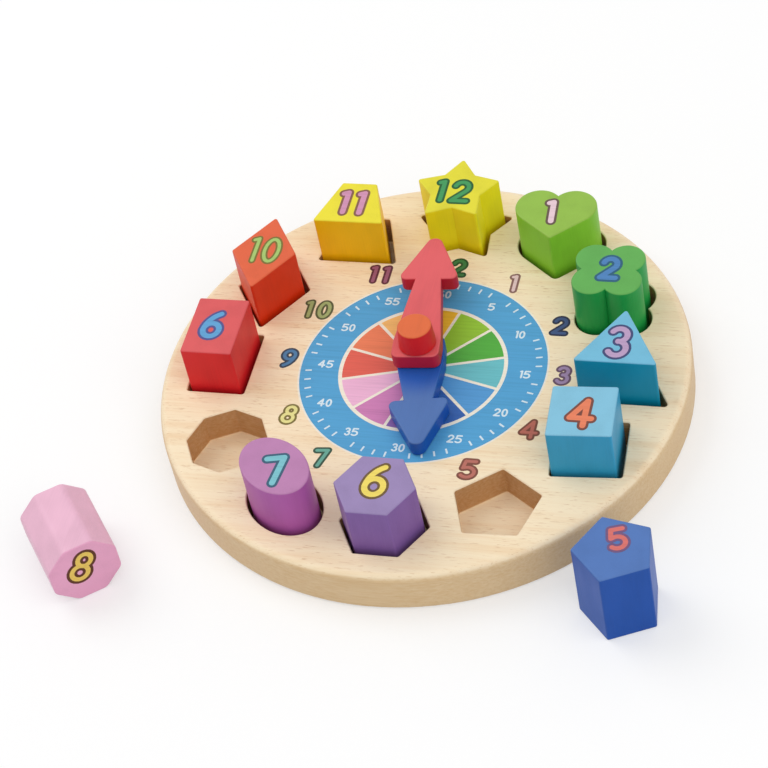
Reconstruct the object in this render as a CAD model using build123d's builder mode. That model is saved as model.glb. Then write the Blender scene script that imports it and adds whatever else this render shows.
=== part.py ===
from build123d import *
import os
from math import cos, radians, sin

# A wooden shape sorting clock: a round board with twelve routed pockets, a block for
# each pocket, and two free hands held on a centre dowel by a glued cap.
# Millimetres. The origin is the middle of the board's underside, +Z is up and
# +Y runs to twelve o'clock. The board lies flat. The five and eight stand and lie
# on the same surface as the board, beside it, and the other ten are in their pockets.

os.makedirs("parts", exist_ok=True)

# Board: one thick disc with softened rims, as much larger than its ring of pockets all round
pocket_ring_radius = 108.5
pocket_ring_to_rim = 33.5
board_thickness = 25
board_top_round = 4
board_bottom_round = 2.5

# Pockets: routed from the top on that ring with a slim bit, each wider than its block
# all round, with the sharp edge of the mouth taken off
pocket_depth = 18
pocket_clearance = 2
pocket_mouth_chamfer = 0.5
router_bit_radius = 1.6

# Where each pocket stands: hours round the dial, then its share of the ring radius.
# The router's layout is a little uneven, as it is on the real board.
pocket_place_shares = {
    1: (1.054, 1.005),
    2: (2.026, 0.996),
    3: (3.023, 0.999),
    4: (3.871, 1.008),
    5: (4.905, 0.978),
    6: (5.932, 0.986),
    7: (6.905, 1.025),
    8: (7.908, 1.015),
    9: (8.921, 1.004),
    10: (9.964, 1.019),
    11: (10.991, 1.011),
    12: (11.990, 1.000),
}
hour_angle = 360 / len(pocket_place_shares)

# Degrees that a pocket is turned to the left of upright, where it is
pocket_angles = {1: 2, 2: 2, 4: 3.4, 5: 2.1, 8: 4.8, 12: 2}

# Where each block has been dropped in its pocket's clearance, to the right and towards twelve
block_lean_shares = {
    1: (-0.24, 0.27),
    2: (-0.60, 0.20),
    3: (-0.48, 0.35),
    4: (-0.65, 0.25),
    6: (-0.45, 0.50),
    7: (-0.34, 0.50),
    9: (-0.24, 0.22),
    10: (-0.34, -0.15),
    11: (-0.65, 0.25),
    12: (-0.34, 0.40),
}

# Blocks: all as tall as each other, with sanded corners and ends
block_height = 46
block_corner_round = 1.2
octagon_corner_round = 5
block_end_round = 0.9

heart_width = 44.6
heart_height = 37.3
heart_lobe_radius = 12.8
quatrefoil_lobe_radius = 10.4
quatrefoil_lobe_offset = 8.2
triangle_radius = 25.4
square_side = 33.6
pentagon_radius = 21.3
hexagon_radius = 21.4
oval_length = 44.2
oval_width = 31.2
oval_angle = -40
octagon_radius = 20
rectangle_width = 28.2
rectangle_length = 40
rhombus_width = 36.6
rhombus_length = 54.9
trapezoid_base = 39.8
trapezoid_top = 19.6
trapezoid_height = 31
star_radius = 24.6
star_inner_radius = 14.6

# The five stands upright beside the board and the eight lies on one of its flats
five_place_angle = -45.4
five_rim_gap = 16.5
five_turn_angle = 26
eight_place_angle = -140.9
eight_rim_gap = 45.2
eight_axis_angle = -52

# Centre dowel and cap, glued to each other and to the board
dowel_diameter = 8
dowel_seat_depth = 18
cap_diameter = 20
cap_height = 13
cap_taper_angle = 4.4
cap_bore_depth = 8
cap_top_round = 1
cap_bottom_round = 0.5

# Hands: cut from one board, free to turn on the dowel with a little play above and below.
# The minute hand just clears the blocks, and the hour hand is that much shorter. The
# minute hand's hole was drilled a little to the right of its middle.
hand_thickness = 9
hand_play = 0.5
hand_bore_clearance = 0.1
hand_edge_round = 0.8
hand_head_width = 30.8
hand_head_length = 31.5
hand_tip_round = 4.5
hand_barb_round = 3.2
hand_tail_width = 25.4
hand_shoulder_reach = 3.4
hand_tail_round = 4
hand_sweep_clearance = 4
minute_tail_reach = 9.5
minute_neck_width = 13.4
minute_bore_offset = 0.8
minute_hand_angle = 5
hour_hand_shortfall = 17.7
hour_tail_reach = 14
hour_neck_width = 14.2
hour_hand_angle = -169.4

# Radii and levels worked out from the sizes above
board_radius = pocket_ring_radius + pocket_ring_to_rim
minute_hand_reach = pocket_ring_radius - star_radius - hand_sweep_clearance
hour_hand_reach = minute_hand_reach - hour_hand_shortfall
pocket_floor = board_thickness - pocket_depth
pocket_chamfer_bottom = board_thickness - pocket_mouth_chamfer
dowel_bottom = board_thickness - dowel_seat_depth
hour_hand_bottom = board_thickness + hand_play
minute_hand_bottom = hour_hand_bottom + hand_thickness + hand_play
cap_bottom = minute_hand_bottom + hand_thickness + hand_play
dowel_length = cap_bottom + cap_bore_depth - dowel_bottom


def keep(piece, name):
    """Label one finished piece and write it as its own file."""
    piece.part.label = name
    export_step(piece.part, f"parts/{name}.step")
    print(name, "volume", round(piece.part.volume), "solids", len(piece.part.solids()))


def corners(radius, sides, first_angle):
    """Points evenly spaced on a circle, from an angle given in degrees."""
    step = 360 / sides
    angles = [radians(first_angle + step * turn) for turn in range(sides)]
    return [(radius * cos(angle), radius * sin(angle)) for angle in angles]


def corner_round(gap, block_round):
    """The radius of a sanded block's corners, or of a pocket's as its bit leaves them."""
    return router_bit_radius + gap - pocket_clearance if gap else block_round


def rounded(points, gap, block_round=block_corner_round):
    """A polygon grown all round by the gap, with its corners rounded."""
    with BuildSketch() as outline:
        Polygon(*points, align=None)
        if gap:
            offset(amount=gap, kind=Kind.INTERSECTION)
        fillet(outline.vertices(), radius=corner_round(gap, block_round))
    return outline.sketch


def heart(gap):
    """Two round lobes, each drawn down to the same rounded tip."""
    lobe_x = heart_width / 2 - heart_lobe_radius
    lobe_y = heart_height / 2 - heart_lobe_radius
    tip_y = block_corner_round - heart_height / 2
    with BuildSketch() as outline:
        for side in (-1, 1):
            with BuildSketch() as half:
                with Locations((side * lobe_x, lobe_y)):
                    Circle(heart_lobe_radius + gap)
                with Locations((0, tip_y)):
                    Circle(block_corner_round + gap)
                make_hull()
    return outline.sketch


def quatrefoil(gap):
    """Four overlapping discs round a square that fills the middle."""
    spacing = 2 * quatrefoil_lobe_offset
    with BuildSketch() as outline:
        with GridLocations(spacing, spacing, 2, 2):
            Circle(quatrefoil_lobe_radius + gap)
        Rectangle(spacing, spacing)
    return outline.sketch


def triangle(gap):
    return rounded(corners(triangle_radius, 3, 90), gap)


def square(gap):
    half = square_side / 2
    return rounded([(-half, -half), (half, -half), (half, half), (-half, half)], gap)


def pentagon(gap):
    return rounded(corners(pentagon_radius, 5, 90), gap)


def hexagon(gap):
    return rounded(corners(hexagon_radius, 6, 0), gap)


def oval(gap):
    with BuildSketch() as outline:
        Ellipse(oval_length / 2 + gap, oval_width / 2 + gap, rotation=oval_angle)
    return outline.sketch


def octagon(gap):
    return rounded(corners(octagon_radius, 8, 90), gap, octagon_corner_round)


def rectangle(gap):
    half_width = rectangle_width / 2
    half_length = rectangle_length / 2
    points = [
        (-half_width, -half_length),
        (half_width, -half_length),
        (half_width, half_length),
        (-half_width, half_length),
    ]
    return rounded(points, gap)


def rhombus(gap):
    half_width = rhombus_width / 2
    half_length = rhombus_length / 2
    points = [(0, -half_length), (half_width, 0), (0, half_length), (-half_width, 0)]
    return rounded(points, gap)


def trapezoid(gap):
    half_height = trapezoid_height / 2
    half_base = trapezoid_base / 2
    half_top = trapezoid_top / 2
    points = [
        (-half_base, -half_height),
        (half_base, -half_height),
        (half_top, half_height),
        (-half_top, half_height),
    ]
    return rounded(points, gap)


def star(gap):
    """Five rounded tips, with sharp inner corners."""
    tips = corners(star_radius, 5, 90)
    notches = corners(star_inner_radius, 5, 126)
    points = [point for pair in zip(tips, notches) for point in pair]
    with BuildSketch() as outline:
        Polygon(*points, align=None)
        if gap:
            offset(amount=gap, kind=Kind.INTERSECTION)
        ends = outline.vertices().group_by(SortBy.DISTANCE)[-1]
        fillet(ends, radius=corner_round(gap, block_corner_round))
    return outline.sketch


shapes = {
    1: heart,
    2: quatrefoil,
    3: triangle,
    4: square,
    5: pentagon,
    6: hexagon,
    7: oval,
    8: octagon,
    9: rectangle,
    10: rhombus,
    11: trapezoid,
    12: star,
}


def upright(x, y, z, turn):
    """A level plane at a point, turned to the left by so many degrees."""
    return Plane(origin=(x, y, z), x_dir=(cos(radians(turn)), sin(radians(turn)), 0), z_dir=(0, 0, 1))


def pocket_plane(hour, level, leans=(0, 0)):
    """The plane of one pocket at a level, moved within its clearance by so many shares of it."""
    hours, share = pocket_place_shares[hour]
    bearing = radians(90 - hours * hour_angle)
    x = share * pocket_ring_radius * cos(bearing) + leans[0] * pocket_clearance
    y = share * pocket_ring_radius * sin(bearing) + leans[1] * pocket_clearance
    return upright(x, y, level, pocket_angles.get(hour, 0))


def five_plane():
    """Under the block that stands beside the board, on the surface that carries both."""
    reach = board_radius + five_rim_gap + pentagon_radius
    bearing = radians(five_place_angle)
    return upright(reach * cos(bearing), reach * sin(bearing), 0, five_turn_angle)


def eight_plane():
    """At the back end of the block that lies beside the board on one of its flats."""
    half_corner = radians(180 / 8)
    half_flats = octagon_radius * cos(half_corner)
    reach = board_radius + eight_rim_gap + half_flats
    bearing = radians(eight_place_angle)
    along = radians(eight_axis_angle)
    back_x = reach * cos(bearing) - block_height / 2 * cos(along)
    back_y = reach * sin(bearing) - block_height / 2 * sin(along)
    return Plane(
        origin=(back_x, back_y, half_flats),
        x_dir=(-sin(along) * cos(half_corner), cos(along) * cos(half_corner), -sin(half_corner)),
        z_dir=(cos(along), sin(along), 0),
    )


def block_plane(hour):
    if hour == 5:
        return five_plane()
    if hour == 8:
        return eight_plane()
    return pocket_plane(hour, pocket_floor, block_lean_shares[hour])


# The board, its twelve pockets and the dowel's blind hole
with BuildPart() as clock_board:
    with BuildSketch():
        Circle(board_radius)
    extrude(amount=board_thickness)
    fillet(clock_board.edges().sort_by(Axis.Z)[-1], radius=board_top_round)
    fillet(clock_board.edges().sort_by(Axis.Z)[0], radius=board_bottom_round)
    for hour, shape in shapes.items():
        with BuildSketch(pocket_plane(hour, board_thickness)):
            add(shape(pocket_clearance))
        extrude(amount=-pocket_depth, mode=Mode.SUBTRACT)
        with BuildSketch(pocket_plane(hour, pocket_chamfer_bottom)):
            add(shape(pocket_clearance))
        with BuildSketch(pocket_plane(hour, board_thickness)):
            add(shape(pocket_clearance + pocket_mouth_chamfer))
        loft(ruled=True, mode=Mode.SUBTRACT)
    with BuildSketch(Plane.XY.offset(board_thickness)):
        Circle(dowel_diameter / 2)
    extrude(amount=-dowel_seat_depth, mode=Mode.SUBTRACT)
keep(clock_board, "clock_board")

# The dowel that both hands turn on
with BuildPart() as centre_dowel:
    with BuildSketch(Plane.XY.offset(dowel_bottom)):
        Circle(dowel_diameter / 2)
    extrude(amount=dowel_length)
keep(centre_dowel, "centre_dowel")

# The painted cap, bored from below for the dowel's top end
with BuildPart() as centre_cap:
    with BuildSketch(Plane.XY.offset(cap_bottom)):
        Circle(cap_diameter / 2)
    extrude(amount=cap_height, taper=cap_taper_angle)
    fillet(centre_cap.edges().sort_by(Axis.Z)[-1], radius=cap_top_round)
    fillet(centre_cap.edges().sort_by(Axis.Z)[0], radius=cap_bottom_round)
    with BuildSketch(Plane.XY.offset(cap_bottom)):
        Circle(dowel_diameter / 2)
    extrude(amount=cap_bore_depth, mode=Mode.SUBTRACT)
keep(centre_cap, "centre_cap")


def hand(plane, reach, tail_reach, neck_width, bore_offset=0):
    """An arrow with a round-cornered head, a tapered shaft and a wide tail, bored for the dowel."""
    middle = -bore_offset
    half_tail = hand_tail_width / 2
    half_neck = neck_width / 2
    barb_x = hand_head_width / 2 - hand_barb_round
    barb_y = reach - hand_head_length + hand_barb_round
    shaft = [
        (middle - half_tail, -tail_reach),
        (middle + half_tail, -tail_reach),
        (middle + half_tail, hand_shoulder_reach),
        (middle + half_neck, barb_y),
        (middle - half_neck, barb_y),
        (middle - half_tail, hand_shoulder_reach),
    ]
    with BuildPart() as arrow:
        with BuildSketch(plane) as outline:
            with Locations((middle - barb_x, barb_y), (middle + barb_x, barb_y)):
                Circle(hand_barb_round)
            with Locations((middle, reach - hand_tip_round)):
                Circle(hand_tip_round)
            make_hull()
            Polygon(*shaft, align=None)
            fillet(outline.vertices().group_by(Axis.Y)[0], radius=hand_tail_round)
        extrude(amount=hand_thickness)
        faces = arrow.faces().sort_by(Axis.Z)
        fillet(faces[-1].edges() + faces[0].edges(), radius=hand_edge_round)
        with BuildSketch(plane):
            Circle(dowel_diameter / 2 + hand_bore_clearance)
        extrude(amount=hand_thickness, mode=Mode.SUBTRACT)
    return arrow


# The long minute hand lies over the short hour hand
hour_plane = upright(0, 0, hour_hand_bottom, hour_hand_angle)
minute_plane = upright(0, 0, minute_hand_bottom, minute_hand_angle)
keep(hand(hour_plane, hour_hand_reach, hour_tail_reach, hour_neck_width), "hour_hand")
minute_sizes = (minute_hand_reach, minute_tail_reach, minute_neck_width, minute_bore_offset)
keep(hand(minute_plane, *minute_sizes), "minute_hand")

# The twelve blocks
for hour, shape in shapes.items():
    base = block_plane(hour)
    with BuildPart() as block:
        with BuildSketch(base):
            add(shape(0))
        extrude(amount=block_height)
        ends = block.faces().sort_by(Axis(base.origin, base.z_dir))
        fillet(ends[0].edges() + ends[-1].edges(), radius=block_end_round)
    keep(block, f"block_{hour}_{shape.__name__}")
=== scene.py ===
# %% [markdown]
# A wooden shape sorting clock: a round board with twelve routed pockets, a painted block
# for each, and two hands on a centre dowel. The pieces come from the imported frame, at
# their real size and in their real places. What is added here is what the workshop adds
# last: lacquer on the wood, paint on the blocks and hands, and the printed dial and
# numbers. Blender works in metres, so sizes in millimetres are multiplied by MM.

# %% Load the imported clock
from math import cos, radians, sin

import bmesh
import bpy
from mathutils import Matrix, Quaternion, Vector


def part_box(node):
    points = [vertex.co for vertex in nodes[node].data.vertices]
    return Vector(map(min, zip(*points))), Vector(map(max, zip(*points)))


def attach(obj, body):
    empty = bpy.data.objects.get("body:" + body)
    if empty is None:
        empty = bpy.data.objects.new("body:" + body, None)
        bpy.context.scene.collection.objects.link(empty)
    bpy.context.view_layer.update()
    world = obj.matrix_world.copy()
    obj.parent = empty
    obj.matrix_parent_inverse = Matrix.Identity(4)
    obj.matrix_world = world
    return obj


MM = 0.001

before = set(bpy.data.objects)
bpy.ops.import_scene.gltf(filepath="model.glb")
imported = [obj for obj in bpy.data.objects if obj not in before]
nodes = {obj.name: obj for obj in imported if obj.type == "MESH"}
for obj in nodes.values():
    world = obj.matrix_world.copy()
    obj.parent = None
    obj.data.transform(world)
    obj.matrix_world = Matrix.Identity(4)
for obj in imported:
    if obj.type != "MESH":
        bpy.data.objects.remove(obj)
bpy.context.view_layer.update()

# %% [markdown]
# The prints sit on two kinds of surface: the board's top, and one end of each block. Their
# levels are read from the frame, so a print is always exactly where its wood is. The eight
# lies on its side, and a box can't tell which way its axis points, so that is written here.

# %% Levels and sizes from the frame
board_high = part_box("clock_board")[1]
board_top = board_high.z
board_radius = board_high.x
block_names = {int(name.split("_")[1]): name for name in nodes if name.startswith("block_")}
block_low, block_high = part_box(block_names[12])
block_height = block_high.z - block_low.z
pocket_floor = block_low.z
eight_axis = radians(-52)
eight_along = Vector((cos(eight_axis), sin(eight_axis), 0))
print("board top", board_top, "block height", block_height, "pocket floor", pocket_floor)

# %% [markdown]
# The camera stands in front of the board, a little to the right, and looks down at about
# forty-six degrees through a long lens. A long lens from far away keeps the round board
# from looking stretched. The roll turns the picture until the dial's twelve points up and
# slightly right, as it does in the photograph.

# %% Camera
camera_place = Vector((0.3413, -0.8911, 0.9925))
camera_target = Vector((-0.0183, -0.0129, board_top))
camera_roll = radians(-12.64)
camera_lens = 120.45

camera = bpy.data.objects.new("photo_camera", bpy.data.cameras.new("photo_camera"))
camera.data.lens = camera_lens
camera.location = camera_place
camera.rotation_mode = "QUATERNION"
level_view = (camera_target - camera_place).to_track_quat("-Z", "Y")
camera.rotation_quaternion = level_view @ Quaternion((0, 0, 1), camera_roll)
bpy.context.scene.collection.objects.link(camera)
bpy.context.scene.camera = camera
bpy.context.scene.view_settings.view_transform = "Standard"
print("camera to board, m", round((camera_target - camera_place).length, 3))

# %% [markdown]
# Materials are built from nodes. Written out one by one, nodes are long and hard to read,
# so one small class wraps a node's output. Python's own + - * / on it add Math nodes, and
# its node method adds any other node, its settings first and then its sockets.

# %% A short way to write shader maths
class Wire:
    """The output of a node in a tree."""

    def __init__(self, tree, socket=None):
        self.tree = tree
        self.socket = socket

    def node(self, kind, settings=None, sockets=None, output=0):
        """Add a node and return the wire from one of its outputs."""
        made = self.tree.nodes.new("ShaderNode" + kind)
        for name, value in (settings or {}).items():
            setattr(made, name, value)
        for name, value in (sockets or {}).items():
            if isinstance(value, Wire):
                self.tree.links.new(value.socket, made.inputs[name])
            else:
                made.inputs[name].default_value = value
        return Wire(self.tree, made.outputs[output] if made.outputs else None)

    def maths(self, operation, first, second=0):
        """Add a Math node."""
        return self.node("Math", {"operation": operation}, {0: first, 1: second})

    def __add__(self, other):
        return self.maths("ADD", self, other)

    def __radd__(self, other):
        return self.maths("ADD", other, self)

    def __sub__(self, other):
        return self.maths("SUBTRACT", self, other)

    def __rsub__(self, other):
        return self.maths("SUBTRACT", other, self)

    def __mul__(self, other):
        return self.maths("MULTIPLY", self, other)

    def __rmul__(self, other):
        return self.maths("MULTIPLY", other, self)

    def __truediv__(self, other):
        return self.maths("DIVIDE", self, other)


node_kinds = [kind for kind in dir(bpy.types) if kind.startswith("ShaderNode")]
print("kinds of shader node to choose from", len(node_kinds))

# %% [markdown]
# Colours are written as a paint chart gives them, 0 to 255 on the screen's own scale. The
# renderer works with linear light, so each channel is converted once, here, along the
# curve that all screens share.

# %% Colours
def colour(red, green, blue):
    """A screen colour as linear light, with full cover."""
    shares = [channel / 255 for channel in (red, green, blue)]
    linear = [s / 12.92 if s < 0.04045 else ((s + 0.055) / 1.055) ** 2.4 for s in shares]
    return (*linear, 1)


print("middle grey as linear light", round(colour(128, 128, 128)[0], 3))

# %% [markdown]
# Every finish begins and ends alike: an empty tree with the object's coordinates, and one
# shader that joins base colour, roughness and bump. Object coordinates are metres in the
# clock's own frame, the same for every piece, so the print shares the grain of its wood.

# %% The start and the end of a finish
def empty_tree(owner):
    """Clear the nodes of a material or a world, and return a wire to build on."""
    owner.use_nodes = True
    owner.node_tree.nodes.clear()
    return Wire(owner.node_tree)


def begin_finish(name):
    """A new material, and the wire of its object coordinates."""
    material = bpy.data.materials.new(name)
    return material, empty_tree(material).node("TexCoord", output="Object")


def end_finish(material, base, roughness, height, lift, shine=0.25):
    """Join base colour, roughness and bump in one shader."""
    start = Wire(material.node_tree)
    bump = start.node("Bump", None, {"Height": height, "Distance": lift})
    sockets = {"Base Color": base, "Roughness": roughness, "Normal": bump}
    sockets["Specular IOR Level"] = shine
    shader = start.node("BsdfPrincipled", None, sockets)
    start.node("OutputMaterial", None, {"Surface": shader})
    return material


print("materials that came with the frame", len(bpy.data.materials))

# %% [markdown]
# A few small steps come back in every finish. A smooth step turns a distance into a soft
# mask. Wood grain is noise drawn long in one direction. A blend of two colours goes
# through a Mix node, because a Math node would turn them grey.

# %% Masks, grain and blends
ALONG_X, ALONG_Y, ALONG_Z = 0, 1, 2


def split(place):
    """The three coordinates of a point."""
    whole = place.node("SeparateXYZ", None, {0: place})
    return [Wire(place.tree, output) for output in whole.socket.node.outputs]


def from_middle(place):
    """How far a point is from the clock's centre line."""
    flat = place.node("VectorMath", {"operation": "MULTIPLY"}, {0: place, 1: (1, 1, 0)})
    return flat.node("VectorMath", {"operation": "LENGTH"}, {0: flat}, "Value")


def smooth_step(value, low, high):
    """A mask that is 0 below low, 1 above high, and soft between."""
    limits = {"Value": value, "From Min": low, "From Max": high}
    return value.node("MapRange", {"interpolation_type": "SMOOTHSTEP"}, limits)


def rise_to(level, value, start, end):
    """A mask that begins at one distance short of a level and is whole at another."""
    return smooth_step(value, level - start, level - end)


def grain(place, length, width, axis=ALONG_X, detail=2):
    """Noise drawn long along one axis, from the length and the width of a streak."""
    stretch = [1 / width] * 3
    stretch[axis] = 1 / length
    drawn = place.node("VectorMath", {"operation": "MULTIPLY"}, {0: place, 1: stretch})
    return place.node("TexNoise", None, {"Vector": drawn, "Scale": 1, "Detail": detail})


def blend(share, first, second, way="MIX"):
    """From the first colour to the second as the share goes from 0 to 1."""
    settings = {"data_type": "RGBA", "blend_type": way}
    return share.node("Mix", settings, {0: share, 6: first, 7: second}, output=2)


print("axes that grain can run along", (ALONG_X, ALONG_Y, ALONG_Z))

# %% [markdown]
# The board is pale, close-grained wood, glued up from strips. Strips differ a little in
# tone and their grain doesn't run on from one to the next. So the coordinates jump from
# strip to strip, and white noise gives each strip its own tone. The choice is a number
# added to the strips, which deals out another set of tones.

# %% Glued strips
STRIP_WIDTH = 47 * MM
STRIP_OFFSET = 0.4
STRIP_JUMP_ALONG = 310 * MM
STRIP_JUMP_ACROSS = 170 * MM
STRIP_CHOICE = 184


def strip_place(place):
    """Coordinates whose grain starts afresh in each strip, and the strip's own tone."""
    across = split(place)[1] / STRIP_WIDTH + STRIP_OFFSET
    strip = across.maths("FLOOR", across)
    jump = {0: strip * STRIP_JUMP_ALONG, 1: strip * STRIP_JUMP_ACROSS}
    moved = place.node("CombineXYZ", None, jump)
    shifted = place.node("VectorMath", {"operation": "ADD"}, {0: place, 1: moved})
    tone = place.node("TexWhiteNoise", {"noise_dimensions": "1D"}, {"W": strip + STRIP_CHOICE})
    return shifted, tone


print("strips across the board", round(2 * board_radius / STRIP_WIDTH, 1))

# %% [markdown]
# Soft clouds, bands, fine lines and short brown flecks make the wood's figure, each a
# grain of its own length and width. They are mixed, then stretched between two levels of
# the noise, so that some of the wood is quite pale and some quite deep.

# %% The figure of the wood
WOOD_CLOUDS = (60 * MM, 22 * MM)
WOOD_BANDS = (110 * MM, 6 * MM)
WOOD_LINES = (34 * MM, 1.1 * MM)
WOOD_FLECKS = (6 * MM, 0.55 * MM)
FIGURE_LEVELS = (0.44, 0.76)
FIGURE_STRENGTH = 0.58
FLECK_LEVELS = (0.6, 0.72)
FLECK_STRENGTH = 0.5
STRIP_CONTRAST = 0.14
pale_wood = colour(253, 234, 200)
deep_wood = colour(237, 199, 151)
fleck_wood = colour(204, 156, 104)


def wood_figure(place):
    """The wood's colour, and its fine lines and flecks for the surface's relief."""
    shifted, tone = strip_place(place)
    clouds = grain(shifted, *WOOD_CLOUDS)
    bands = grain(shifted, *WOOD_BANDS, detail=3)
    lines = grain(shifted, *WOOD_LINES, detail=3)
    flecks = smooth_step(grain(shifted, *WOOD_FLECKS), *FLECK_LEVELS)
    mixed = clouds * 0.3 + bands * 0.4 + lines * 0.3 + tone * STRIP_CONTRAST
    base = blend(smooth_step(mixed, *FIGURE_LEVELS) * FIGURE_STRENGTH, pale_wood, deep_wood)
    return blend(flecks * FLECK_STRENGTH, base, fleck_wood), lines, flecks


print("pale wood as linear light", [round(part, 2) for part in pale_wood[:3]])

# %% [markdown]
# The rim is end grain, so it is browner. The pockets' walls are browner still: that is
# painted shade in the recesses, which their floors and mouths don't get. Each zone is a mask
# from the height or the distance from the middle, and fades over a millimetre or so. A
# clear satin lacquer covers it all, a little duller along the fine lines, and the flecks
# are shallow pits in it.

# %% Lacquered wood
RIM_FADE = (1.2 * MM, 0.1 * MM)
RIM_TONE = 0.45
RIM_STREAKS = 0.5
WALL_SHADE = 0.65
WALL_SHADE_STREAKS = 0.4
MOUTH_FADE = (0.9 * MM, 0.3 * MM)
FLOOR_FADE = (-0.1 * MM, -1.2 * MM)
POCKETS_FADE = (5 * MM, 4 * MM)
LACQUER_ROUGHNESS = 0.4
SHEEN_SPREAD = 0.12
WOOD_LIFT = 0.05 * MM
FLECK_PIT = 0.5
wall_shade_wood = colour(188, 133, 72)
rim_wood = colour(217, 181, 129)


def wall_mask(place, reach):
    """Where the pockets' painted shade goes: 1 on their walls, 0 on their floors, above their
    mouths and near the rim.
    """
    z = split(place)[2]
    below_mouth = 1 - rise_to(board_top, z, *MOUTH_FADE)
    above_floor = rise_to(pocket_floor, z, *FLOOR_FADE)
    inside = 1 - rise_to(board_radius, reach, *POCKETS_FADE)
    return below_mouth * above_floor * inside


def board_finish():
    """The board's wood with its browner rim and painted shade on the pockets' walls, under
    lacquer.
    """
    material, place = begin_finish("lacquered_wood")
    base, lines, flecks = wood_figure(place)
    reach = from_middle(place)
    rim = rise_to(board_radius, reach, *RIM_FADE)
    base = blend(rim * (RIM_TONE + lines * RIM_STREAKS), base, rim_wood)
    # painted shade on the pockets' walls
    walls = wall_mask(place, reach)
    base = blend(walls * (WALL_SHADE + lines * WALL_SHADE_STREAKS), base, wall_shade_wood)
    roughness = LACQUER_ROUGHNESS + lines * SHEEN_SPREAD
    return end_finish(material, base, roughness, lines - flecks * FLECK_PIT, WOOD_LIFT)


lacquered_wood = board_finish()
for name in ("clock_board", "centre_dowel"):
    nodes[name].material_slots[0].material = lacquered_wood
print("wood nodes", len(lacquered_wood.node_tree.nodes))

# %% [markdown]
# Blocks, hands and cap are dipped in satin paint, thick enough to hide the wood but not
# its grain: fine ridges still show through and catch the light. Each paint has two hues,
# one for a block's numbered end or a hand's or the cap's top, and one for the rest, and a
# mask from the position along the piece's own axis tells them apart. The two hues are one
# paint with painted light and shade in it: mostly a paler end or top and deeper sides. On
# the hour hand's top near the middle, the side hue comes back as a painted shadow of the
# minute hand's hub. Where the paint has run thick, it is a little darker: its hue is
# multiplied by a pale grey.

# %% Satin paint, with painted light and shade
PAINT_RIDGES = (24 * MM, 0.7 * MM)
PAINT_CLOUDS = (26 * MM, 13 * MM)
STREAK_LEVELS = (0.35, 0.8)
PAINT_STREAKS = 0.7
PAINT_ROUGHNESS = 0.36
PAINT_SPREAD = 0.14
PAINT_LIFT = 0.04 * MM
END_ROUND = 0.9 * MM
END_FADE = (END_ROUND, END_ROUND * 0.3)
HUB_SHADOW_INNER = 15 * MM
HUB_SHADOW_OUTER = 32 * MM
thick_paint = (0.82, 0.82, 0.82, 1)


def paint_finish(name, end_hue_with_painted_light, side_hue_with_painted_light, along, end_level, grain_axis=ALONG_Z, hub_shadow_strength=0):
    """Satin paint with painted light and shade; the end with its own hue lies at end_level on
    the unit axis along.
    """
    material, place = begin_finish(name)
    ridges = grain(place, *PAINT_RIDGES, grain_axis)
    clouds = grain(place, *PAINT_CLOUDS, grain_axis)
    reach = place.node("VectorMath", {"operation": "DOT_PRODUCT"}, {0: place, 1: along}, "Value")
    painted_light_end_mask = rise_to(end_level, reach, *END_FADE)
    # painted shadow of the minute hand's hub on the hour hand's top, fading out from the middle
    painted_hub_shadow = hub_shadow_strength - smooth_step(from_middle(place), HUB_SHADOW_INNER, HUB_SHADOW_OUTER) * hub_shadow_strength
    # painted light and shade: the end or top takes one hue and the sides the other
    hue = blend(painted_light_end_mask * (1 - painted_hub_shadow), side_hue_with_painted_light, end_hue_with_painted_light)
    cover = smooth_step(clouds * 0.7 + ridges * 0.3, *STREAK_LEVELS)
    base = blend(cover * PAINT_STREAKS, hue, thick_paint, "MULTIPLY")
    roughness = PAINT_ROUGHNESS + clouds * PAINT_SPREAD
    return end_finish(material, base, roughness, ridges + clouds, PAINT_LIFT)


print("finishes before the paints", len(bpy.data.materials))

# %% [markdown]
# Each piece has a paint of its own: the hue of its numbered end or its top first, then that
# of its sides, both with their painted light and shade. The last value of a hand or the cap
# says how strong the painted shadow of the minute hand's hub lies on its top.
# The eight's numbered end is half a block from its middle, along the axis that it lies on.

# %% A paint for every piece
# each pair: the numbered end's hue, then the sides', each with its painted light or shade
block_paints = {
    1: (colour(150, 192, 76), colour(138, 208, 50)),
    2: (colour(100, 176, 86), colour(27, 160, 72)),
    3: (colour(118, 190, 220), colour(0, 148, 184)),
    4: (colour(134, 197, 224), colour(52, 164, 208)),
    5: (colour(84, 122, 188), colour(14, 81, 174)),
    6: (colour(158, 138, 186), colour(134, 98, 170)),
    7: (colour(192, 132, 180), colour(178, 92, 172)),
    8: (colour(244, 175, 208), colour(241, 189, 212)),
    9: (colour(224, 92, 94), colour(224, 34, 41)),
    10: (colour(230, 102, 64), colour(223, 54, 14)),
    11: (colour(242, 228, 56), colour(252, 202, 5)),
    12: (colour(232, 223, 56), colour(250, 234, 20)),
}
# top hue and side hue with painted light and shade, then the strength of the hub's painted
# shadow
hand_and_cap_paints = {
    "minute_hand": (colour(228, 98, 102), colour(200, 32, 58), 0),
    "hour_hand": (colour(80, 116, 178), colour(20, 85, 178), 0.9),
    "centre_cap": (colour(228, 110, 62), colour(226, 31, 33), 0),
}
UP = Vector((0, 0, 1))

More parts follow.
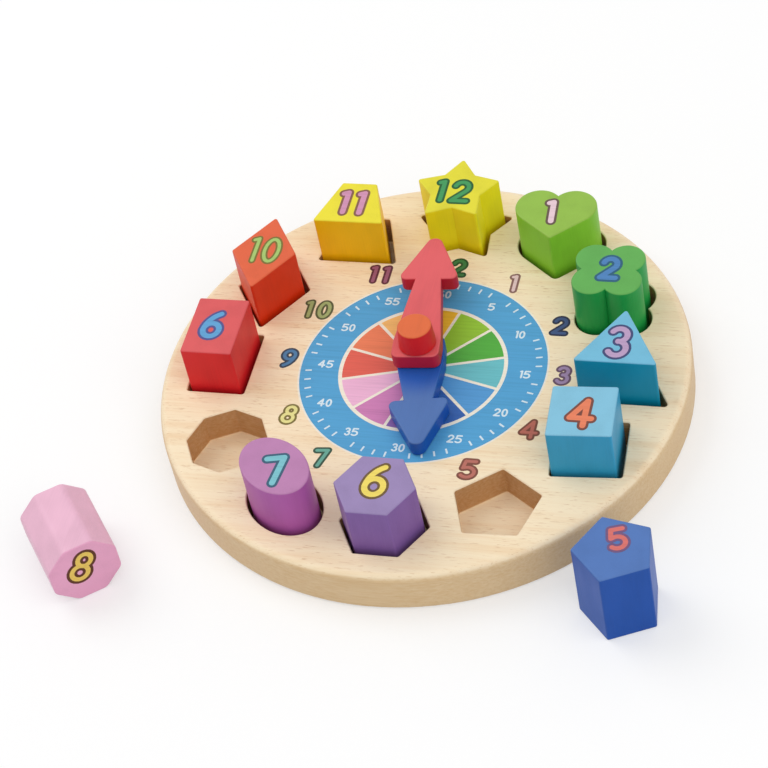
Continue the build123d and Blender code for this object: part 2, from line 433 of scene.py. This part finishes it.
for hour, hues in block_paints.items():
    low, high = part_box(block_names[hour])
    along, end_level, grain_axis = UP, high.z, ALONG_Z
    if hour == 8:
        along, grain_axis = eight_along, ALONG_Y
        end_level = (low + high).dot(along) / 2 + block_height / 2
    paint = paint_finish(f"block_{hour}_paint", *hues, along, end_level, grain_axis)
    nodes[block_names[hour]].material_slots[0].material = paint
for name, (*hues, hub_shadow_strength) in hand_and_cap_paints.items():
    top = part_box(name)[1].z
    paint = paint_finish(f"{name}_paint", *hues, UP, top, ALONG_Y, hub_shadow_strength)
    nodes[name].material_slots[0].material = paint
print("paints", len(block_paints) + len(hand_and_cap_paints))

# %% [markdown]
# Ink is thinner than paint and lies on the lacquered wood, so the board's streaks show
# faintly through the dial. The same strip and grain steps as in the wood keep them in line.

# %% Printing ink
INK_DEPTH = 0.72
INK_STREAKS = 0.45
INK_ROUGHNESS = 0.42
INK_LIFT = 0.03 * MM


def ink_finish(name, hue):
    """Thin ink, a little deeper in colour along the wood's fine lines."""
    material, place = begin_finish(name)
    lines = grain(strip_place(place)[0], *WOOD_LINES, detail=3)
    deeper = [channel * INK_DEPTH for channel in hue[:3]] + [1]
    base = blend(smooth_step(lines, *STREAK_LEVELS) * INK_STREAKS, hue, deeper)
    return end_finish(material, base, INK_ROUGHNESS + lines * SHEEN_SPREAD, lines, INK_LIFT)


print("finishes before the inks", len(bpy.data.materials))

# %% [markdown]
# Every print is a thin solid: a flat shape from bmesh operators, given its thickness
# downwards so that it sinks a little into the wood and only the ink's own height stands
# proud. Real screen print is thinner still, but this much keeps it clear of the wood.

# %% From flat shape to printed piece
INK_SINK = 0.1 * MM
FIRST_INK = 0.03 * MM
SECOND_INK = 0.06 * MM
THIRD_INK = 0.09 * MM


def sink(shape, depth):
    """Give a flat shape facing up its thickness, downwards."""
    lower = bmesh.ops.extrude_face_region(shape, geom=shape.faces[:])["geom"]
    corners = [item for item in lower if isinstance(item, bmesh.types.BMVert)]
    bmesh.ops.translate(shape, verts=corners, vec=(0, 0, -depth))
    bmesh.ops.recalc_face_normals(shape, faces=shape.faces[:])


def on_board(x=0, y=0, level=0):
    """A place on the board's top, level above it."""
    return Matrix.Translation((x, y, board_top + level))


def place_piece(name, shape, finishes, body, place):
    """Move a finished shape to its place and make it a piece that rides on a body."""
    bmesh.ops.transform(shape, matrix=place, verts=shape.verts[:])
    mesh = bpy.data.meshes.new(name)
    shape.to_mesh(mesh)
    shape.free()
    for finish in finishes:
        mesh.materials.append(finish)
    piece = bpy.data.objects.new(name, mesh)
    bpy.context.scene.collection.objects.link(piece)
    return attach(piece, body)


print("ink levels, mm", [round(level / MM, 2) for level in (FIRST_INK, SECOND_INK, THIRD_INK)])

# %% [markdown]
# The dial is printed in layers, as a screen printer would: first a cream disc that later
# shows as thin lines, then the blue minute ring and the twelve wedges over it. A ring is
# two circles bridged, which needs no list of corners.

# %% Dial rings
RING_SIDES = 192
dial_radius = 67.4 * MM
minute_ring_outer = 66.4 * MM
minute_ring_inner = 45.4 * MM
dial_bore = 4.4 * MM

cream_ink = ink_finish("cream_ink", colour(248, 240, 222))
ring_blue = ink_finish("ring_blue_ink", colour(84, 165, 214))


def ring(outer, inner):
    """A flat ring round the middle."""
    shape = bmesh.new()
    for radius in (outer, inner):
        bmesh.ops.create_circle(shape, segments=RING_SIDES, radius=radius)
    bmesh.ops.bridge_loops(shape, edges=shape.edges[:])
    return shape


def print_ring(name, outer, inner, ink, level):
    """Print a ring on the board."""
    shape = ring(outer, inner)
    sink(shape, INK_SINK + level)
    return place_piece(name, shape, [ink], "board", on_board(level=level))


print_ring("dial_ground", dial_radius, dial_bore, cream_ink, FIRST_INK)
print_ring("minute_ring", minute_ring_outer, minute_ring_inner, ring_blue, SECOND_INK)
print("dial across, mm", round(2 * dial_radius / MM, 1))

# %% [markdown]
# The twelve wedges repeat the colours of the blocks, each towards its own hour, so a child
# can match block, pocket and dial. Cutting one full ring with two planes gives a wedge
# whose outer edge lies exactly on the dial's circle, which straight-sided shapes wouldn't.
# Each plane is held half a line's width back from the spoke, so all lines are equally wide.

# %% Dial wedges
HOUR_ANGLE = 30
wedge_outer = 43.3 * MM
spoke_width = 1.7 * MM
wedge_colours = {
    1: colour(150, 200, 52),
    2: colour(84, 176, 64),
    3: colour(108, 194, 202),
    4: colour(86, 158, 216),
    5: colour(52, 102, 178),
    6: colour(138, 98, 172),
    7: colour(210, 130, 184),
    8: colour(242, 184, 216),
    9: colour(230, 100, 84),
    10: colour(240, 130, 90),
    11: colour(252, 192, 112),
    12: colour(244, 194, 54),
}


def wedge(hour):
    """The dial's slice towards one hour."""
    shape = ring(wedge_outer, dial_bore)
    for side in (-1, 1):
        spoke = radians(HOUR_ANGLE * hour) + side * radians(HOUR_ANGLE / 2)
        away = Vector((side * cos(spoke), -side * sin(spoke), 0))
        everything = shape.verts[:] + shape.edges[:] + shape.faces[:]
        cut = {"plane_co": away * -spoke_width / 2, "plane_no": away, "clear_outer": True}
        bmesh.ops.bisect_plane(shape, geom=everything, **cut)
    sink(shape, INK_SINK + SECOND_INK)
    return shape


for hour, hue in wedge_colours.items():
    ink = ink_finish(f"wedge_{hour}_ink", hue)
    place_piece(f"dial_wedge_{hour}", wedge(hour), [ink], "board", on_board(level=SECOND_INK))
print("wedges", len(wedge_colours))

# %% [markdown]
# Forty-eight short white strokes mark the minutes; the other twelve are numbers. Each
# stroke is one face of a grid primitive, scaled to its size, moved out to the ring and
# turned to its minute, and all of them are one piece of print.

# %% Minute strokes
MINUTE_ANGLE = 6
tick_radius = 61.9 * MM
tick_length = 3.5 * MM
tick_width = 1.0 * MM
white_ink = ink_finish("white_ink", colour(220, 237, 244))

stroke_minutes = [minute for minute in range(60) if minute % 5]
tick_size = Matrix.Diagonal((tick_width / 2, tick_length / 2, 1, 1))
ticks = bmesh.new()
for minute in stroke_minutes:
    turn = Matrix.Rotation(radians(-MINUTE_ANGLE * minute), 4, "Z")
    where = turn @ Matrix.Translation((0, tick_radius, 0)) @ tick_size
    bmesh.ops.create_grid(ticks, x_segments=1, y_segments=1, size=1, matrix=where)
sink(ticks, THIRD_INK)
place_piece("minute_strokes", ticks, [white_ink], "board", on_board(level=THIRD_INK))
print("minute strokes", len(stroke_minutes))

# %% [markdown]
# The numbers are drawn as a sign painter draws them, with one round brush of even width.
# A font would be quicker, but its figures have thick and thin parts and square ends. Here
# a figure is a few strokes, given as shares of its height, with its curves as arcs. Drawn
# with a wide brush it is the dark outline, and with a narrow one the bright middle.

# %% Strokes of the figures
def arc(x, y, across, up, start, end, steps=14):
    """Points on an arc round x, y, from one angle to another in degrees."""
    angles = [radians(start + (end - start) * step / steps) for step in range(steps + 1)]
    return [(x + across * cos(angle), y + up * sin(angle)) for angle in angles]


def turned_over(strokes):
    """The same strokes, upside down."""
    return [[(-x, 1 - y) for x, y in path] for path in strokes]


six_stroke_shares = [
    arc(0.58, 0.25, 0.86, 0.86, 118, 175, 8),
    arc(0, 0.29, 0.28, 0.29, 90, 450, 20),
]
figure_stroke_shares = {
    "0": [arc(0, 0.5, 0.26, 0.5, 90, 450, 24)],
    "1": [[(-0.13, 0.94), (0.03, 1), (0.03, 0)]],
    "2": [arc(0, 0.72, 0.27, 0.28, 165, -35) + [(-0.3, 0), (0.3, 0)]],
    "3": [arc(0, 0.76, 0.23, 0.24, 150, -90), arc(0, 0.265, 0.26, 0.265, 90, -150)],
    "4": [[(0.14, 1), (-0.33, 0.3), (0.36, 0.3)], [(0.14, 1), (0.14, 0)]],
    "5": [[(0.33, 1), (-0.17, 1), (-0.24, 0.56)] + arc(0, 0.31, 0.35, 0.31, 122, -140)],
    "6": six_stroke_shares,
    "7": [[(-0.28, 0.95), (0.27, 1), (-0.04, 0)]],
    "8": [arc(0.05, 0.76, 0.22, 0.24, 90, 450, 20), arc(-0.02, 0.27, 0.27, 0.27, 90, 450, 20)],
    "9": turned_over(six_stroke_shares),
}
print("figures drawn", len(figure_stroke_shares))

# %% [markdown]
# One brush stroke from point to point is the hull of two thin discs, one at each end. The
# hull operator spans a skin over their four circles, and the edges and corners that end up
# inside the skin, or bare on it, are deleted.

# %% One stroke of the brush
BRUSH_SIDES = 16


def dab(start, end, width, depth):
    """The flat solid that a round brush leaves between two points."""
    shape = bmesh.new()
    for x, y in (start, end):
        for level in (0, -depth):
            where = Matrix.Translation((x, y, level))
            bmesh.ops.create_circle(shape, segments=BRUSH_SIDES, radius=width / 2, matrix=where)
    bmesh.ops.convex_hull(shape, input=shape.verts[:])
    loose = [edge for edge in shape.edges if not edge.link_faces]
    bmesh.ops.delete(shape, geom=loose, context="EDGES")
    loose = [corner for corner in shape.verts if not corner.link_faces]
    bmesh.ops.delete(shape, geom=loose, context="VERTS")
    bmesh.ops.recalc_face_normals(shape, faces=shape.faces[:])
    mesh = bpy.data.meshes.new("dab")
    shape.to_mesh(mesh)
    shape.free()
    return bpy.data.objects.new("dab", mesh)


print("sides of the brush", BRUSH_SIDES)

# %% [markdown]
# The strokes of a figure are merged by a Boolean modifier into one closed solid, because
# overlapping faces in one plane would flicker. All strokes but the first wait in a
# collection, so that one modifier takes them all. The manifold solver is a quick one, and
# it asks for closed solids, which the strokes are. Two strokes are merged here as a trial.

# %% Merging the strokes
def merge(dabs):
    """One closed mesh from many overlapping solids."""
    first, *others = dabs
    bench = bpy.data.collections.new("bench")
    bpy.context.scene.collection.children.link(bench)
    bpy.context.scene.collection.objects.link(first)
    for other in others:
        bench.objects.link(other)
    union = first.modifiers.new("union", "BOOLEAN")
    union.operation = "UNION"
    union.operand_type = "COLLECTION"
    union.collection = bench
    union.solver = "MANIFOLD"
    seen_shape = first.evaluated_get(bpy.context.evaluated_depsgraph_get())
    mesh = bpy.data.meshes.new_from_object(seen_shape)
    for used in dabs:
        bpy.data.objects.remove(used)
    bpy.data.collections.remove(bench)
    return mesh


trial = merge([dab((0, 0), (0, 1), 0.2, 0.1), dab((0, 1), (1, 1), 0.2, 0.1)])
print("corners of two strokes merged", len(trial.vertices))
bpy.data.meshes.remove(trial)

# %% [markdown]
# A figure that comes back in the same size is merged only once and then copied. A copy is
# read into the number's own mesh, behind what is there already, so its corners and faces
# are the last ones: those are moved to their place and given their finish.

# %% Figures
figure_meshes = {}


def figure_mesh(figure, height, width, depth):
    """The merged solid of one figure, made once for each size of brush."""
    key = (figure, height, width, depth)
    if key not in figure_meshes:
        paths = figure_stroke_shares[figure]
        scaled = [[(x * height, y * height) for x, y in path] for path in paths]
        steps = [step for path in scaled for step in zip(path, path[1:])]
        figure_meshes[key] = merge([dab(start, end, width, depth) for start, end in steps])
    return figure_meshes[key]


def add_figure(shape, mesh, shift, layer):
    """Copy a figure's mesh into a number, move it and give its faces their finish."""
    known_corners = len(shape.verts)
    known_faces = len(shape.faces)
    shape.from_mesh(mesh)
    shape.verts.ensure_lookup_table()
    shape.faces.ensure_lookup_table()
    bmesh.ops.translate(shape, verts=shape.verts[known_corners:], vec=shift)
    for face in shape.faces[known_faces:]:
        face.material_index = layer


print("figures kept for reuse", len(figure_meshes))

# %% [markdown]
# A number sets its figures side by side, with the outlines a hair apart, and centres them.
# The outline's faces take the first finish of the piece and the middle's the second. The
# outline is printed first, and the middle stands on it by one more layer of ink.

# %% Numbers
def number(text, height, brushes, gap):
    """A printed number, height tall over its widest brush, centred on the origin."""
    wide = brushes[0]
    line_height = height - wide
    spans = []
    for figure in text:
        across = [x * line_height for path in figure_stroke_shares[figure] for x, _ in path]
        spans.append((min(across) - wide / 2, max(across) + wide / 2))
    length = sum(right - left for left, right in spans) + gap * (len(text) - 1)
    shape = bmesh.new()
    pen = -length / 2
    for figure, (left, right) in zip(text, spans):
        for layer, brush in enumerate(brushes):
            level = SECOND_INK + layer * (THIRD_INK - SECOND_INK)
            mesh = figure_mesh(figure, line_height, brush, INK_SINK + level)
            add_figure(shape, mesh, (pen - left, -line_height / 2, level), layer)
        pen += right - left + gap
    return shape


print("layers of a number, mm", [round(level / MM, 2) for level in (SECOND_INK, THIRD_INK)])

# %% [markdown]
# The minutes are counted in fives round the ring, in small upright figures drawn with one
# thin brush. They were set by hand, so a few stand a millimetre or two off the circle.

# %% Numbers on the minute ring
minute_number_radius = 55.3 * MM
minute_number_height = 5.6 * MM
minute_number_brush = 1.0 * MM
minute_number_gap = 0.4 * MM
minute_number_shifts = {
    10: (-0.7, 0.9),
    30: (-0.5, -1.2),
    40: (0.9, -1.2),
    45: (2, -1.2),
    50: (0.5, -1.2),
}
for hour in range(1, 13):
    minute = 5 * hour
    bearing = radians(HOUR_ANGLE * hour)
    across, up = minute_number_shifts.get(minute, (0, 0))
    x = minute_number_radius * sin(bearing) + across * MM
    y = minute_number_radius * cos(bearing) + up * MM
    shape = number(str(minute), minute_number_height, [minute_number_brush], minute_number_gap)
    where = on_board(x, y, THIRD_INK - SECOND_INK)
    place_piece(f"minute_number_{minute}", shape, [white_ink], "board", where)
print("figures made", len(figure_meshes))

# %% [markdown]
# The clock's own hours stand on the wood inside the ring of pockets, in softer colours
# than the blocks. They were laid out by eye, so each has its place across and up from the
# middle in millimetres, and then the inks of its outline and of its middle.

# %% Hour numbers on the wood
hour_number_height = 15 * MM
hour_number_brushes = [4.3 * MM, 1.9 * MM]
hour_number_gap = 1.1 * MM
hour_numbers = {
    1: (36, 66.6, colour(138, 98, 92), colour(232, 200, 200)),
    2: (67.4, 36.7, colour(38, 44, 70), colour(64, 86, 132)),
    3: (75.4, 1.2, colour(106, 78, 98), colour(164, 136, 174)),
    4: (65.1, -38, colour(120, 68, 52), colour(188, 104, 88)),
    5: (39, -67.6, colour(130, 76, 62), colour(192, 114, 100)),
    6: (0, -76.3, colour(116, 90, 44), colour(240, 218, 96)),
    7: (-39.8, -67, colour(52, 84, 66), colour(106, 174, 154)),
    8: (-64.2, -38.7, colour(126, 112, 56), colour(236, 228, 148)),
    9: (-74.6, 1.5, colour(52, 66, 84), colour(80, 130, 174)),
    10: (-67.6, 38.7, colour(88, 90, 52), colour(166, 178, 112)),
    11: (-39.8, 68.1, colour(98, 46, 62), colour(160, 94, 120)),
    12: (-0.2, 76.3, colour(36, 80, 44), colour(60, 126, 72)),
}


def number_inks(owner, hues):
    """The inks of a number's outline and of its middle."""
    return [ink_finish(f"{owner}_{part}_ink", hue) for part, hue in zip(("line", "fill"), hues)]


for hour, (x, y, *hues) in hour_numbers.items():
    inks = number_inks(f"hour_{hour}", hues)
    shape = number(str(hour), hour_number_height, hour_number_brushes, hour_number_gap)
    place_piece(f"hour_number_{hour}", shape, inks, "board", on_board(x * MM, y * MM))
print("figures made", len(figure_meshes))

# %% [markdown]
# The blocks' numbers are pad printed on their ends, bigger than the board's, and never
# quite in the middle: the shifts are millimetres across and up. Ten of them face straight
# up. The five stands turned beside the board, and the eight lies on one of its flats with
# its number towards the viewer, so its place is made from the direction of its axis.

# %% Where each block's number goes
number_shifts = {
    1: (-2.3, 1.2),
    2: (0.5, 0.6),
    3: (-0.1, -4.3),
    4: (0.1, -1.8),
    5: (1.7, 6.6),
    6: (0, 2.6),
    7: (1.3, -3.3),
    8: (-1.3, 3.9),
    9: (-1.3, 0.1),
    10: (0.5, 1.3),
    11: (-0.9, -0.4),
    12: (-0.9, -3.8),
}
number_turns = {5: 19, 7: 7, 8: -22}
number_leans = {1: -0.06, 7: -0.05}
number_widths = {10: 0.88}
usual_number_width = 0.95


def number_place(hour):
    """The middle of the block's end, then the print's own shift and turn on it."""
    low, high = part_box(block_names[hour])
    middle = (low + high) / 2
    end = Matrix.Translation((middle.x, middle.y, high.z))
    if hour == 8:
        level = Vector((-eight_along.y, eight_along.x, 0))
        faces_viewer = Matrix((level, UP, eight_along)).transposed().to_4x4()
        end = Matrix.Translation(middle + eight_along * block_height / 2) @ faces_viewer
    across, up = number_shifts[hour]
    turn = Matrix.Rotation(radians(number_turns.get(hour, 0)), 4, "Z")
    lean = Matrix.Shear("XZ", 4, (number_leans.get(hour, 0), 0))
    narrow = Matrix.Diagonal((number_widths.get(hour, usual_number_width), 1, 1, 1))
    return end @ Matrix.Translation((across * MM, up * MM, 0)) @ turn @ lean @ narrow


print("turned prints", len(number_turns), "leaning prints", len(number_leans))

# %% [markdown]
# Most numbers are bold, a dark line all round a bright middle. The ten's is lighter, to
# fit two figures on a narrow end. Both brushes' widths set the line: half their difference.
# The heights are in millimetres. The red block belongs at nine, but its figure is printed
# the other way up, so it reads as a six.

# %% Numbers on the blocks
BOLD = [6.1 * MM, 3.3 * MM]
FINE = [5.3 * MM, 2.6 * MM]
LIGHT = [4.6 * MM, 2.2 * MM]
RINGED = [6.1 * MM, 2.7 * MM]
block_number_gap = 1.2 * MM
block_numbers = {
    1: (21, BOLD, colour(104, 84, 74), colour(236, 206, 216)),
    2: (20.2, BOLD, colour(44, 96, 124), colour(78, 132, 190)),
    3: (25, BOLD, colour(66, 74, 118), colour(190, 160, 198)),
    4: (22.8, BOLD, colour(122, 72, 62), colour(236, 132, 96)),
    5: (17.2, FINE, colour(116, 88, 128), colour(220, 116, 110)),
    6: (24, BOLD, colour(112, 88, 52), colour(246, 222, 104)),
    7: (23, BOLD, colour(56, 96, 120), colour(126, 196, 208)),
    8: (23.2, RINGED, colour(96, 50, 24), colour(244, 208, 100)),
    9: (22.6, BOLD, colour(82, 84, 142), colour(96, 164, 214)),
    10: (21.6, LIGHT, colour(124, 112, 48), colour(168, 202, 112)),
    11: (21.8, BOLD, colour(138, 96, 76), colour(216, 150, 184)),
    12: (20.2, FINE, colour(34, 96, 48), colour(66, 156, 92)),
}
for hour, (height, brushes, *hues) in block_numbers.items():
    inks = number_inks(f"block_{hour}", hues)
    text = "6" if hour == 9 else str(hour)
    shape = number(text, height * MM, brushes, block_number_gap)
    place_piece(f"block_number_{hour}", shape, inks, block_names[hour], number_place(hour))
print("figures made", len(figure_meshes))

# %% [markdown]
# Pale daylight fills in from all round. The air looks plain white to the camera, in
# reflections and through glass, yet sheds only a part of the light, so that colours render
# about as they are written.

# %% Daylight
daylight = 0.61
pure_white = (1, 1, 1, 1)


def seen(start):
    """1 for rays from the camera, and for those in reflections and through glass."""
    kinds = ("Is Camera Ray", "Is Glossy Ray", "Is Transmission Ray")
    camera_ray, glossy_ray, clear_ray = (start.node("LightPath", output=kind) for kind in kinds)
    mirrored = start.maths("MAXIMUM", glossy_ray, clear_ray)
    return start.maths("MAXIMUM", camera_ray, mirrored)


world = bpy.data.worlds.new("studio")
bpy.context.scene.world = world
air = empty_tree(world)
glow = air.node("Background", None, {"Color": pure_white, "Strength": daylight})
white = air.node("Background", None, {"Color": pure_white, "Strength": 1})
sky = air.node("MixShader", None, {0: seen(air), 1: glow, 2: white})
air.node("OutputWorld", None, {"Surface": sky})
print("daylight", daylight)

# %% [markdown]
# The clock stands between two large soft lamps, high on the left and a little behind, and
# high on the right and a little in front. Two lamps share out each shadow to both sides,
# so none is strong. They stand well away, so that the whole table is lit evenly. Each has
# a direction from the clock, a width in metres and a power in watts.

# %% Lamps
lamps = {
    "left_softbox": (Vector((-0.6, 0.25, 0.76)), 2.4, 25),
    "right_softbox": (Vector((0.5, -0.35, 0.79)), 3, 25),
}
lamp_distance = 3

for name, (direction, width, power) in lamps.items():
    lamp = bpy.data.objects.new(name, bpy.data.lights.new(name, "AREA"))
    lamp.data.shape = "DISK"
    lamp.data.size = width
    lamp.data.energy = power
    lamp.location = direction.normalized() * lamp_distance
    lamp.rotation_mode = "QUATERNION"
    lamp.rotation_quaternion = (-direction).to_track_quat("-Z", "Y")
    bpy.context.scene.collection.objects.link(lamp)
print("lamps", len(lamps))

# %% [markdown]
# The table is one large matt sheet, a hair below the clock. The camera sees it almost
# white, with the soft shadows that the clock throws on it, while the light that it sends
# back up stays modest: a second, plainer white serves for that.

# %% Table
table_white = colour(225, 225, 226)
table_seen = colour(206, 206, 206)
table_glow = 0.4
table_half_width = 3
table_gap = 0.05 * MM

table_shape = bmesh.new()
bmesh.ops.create_grid(table_shape, x_segments=1, y_segments=1, size=table_half_width)
table_mesh = bpy.data.meshes.new("table")
table_shape.to_mesh(table_mesh)
table_shape.free()
table = bpy.data.objects.new("table", table_mesh)
table.location.z = -table_gap
bpy.context.scene.collection.objects.link(table)

table_finish = bpy.data.materials.new("white_table")
start = empty_tree(table_finish)
matt = start.node("BsdfDiffuse", None, {"Color": table_white})
bright = start.node("BsdfDiffuse", None, {"Color": table_seen})
shine = start.node("Emission", None, {"Color": pure_white, "Strength": table_glow})
lit = start.node("AddShader", None, {0: bright, 1: shine})
surface = start.node("MixShader", None, {0: seen(start), 1: matt, 2: lit})
start.node("OutputMaterial", None, {"Surface": surface})
table_mesh.materials.append(table_finish)
print("table", [round(side, 1) for side in table.dimensions])

# %% [markdown]
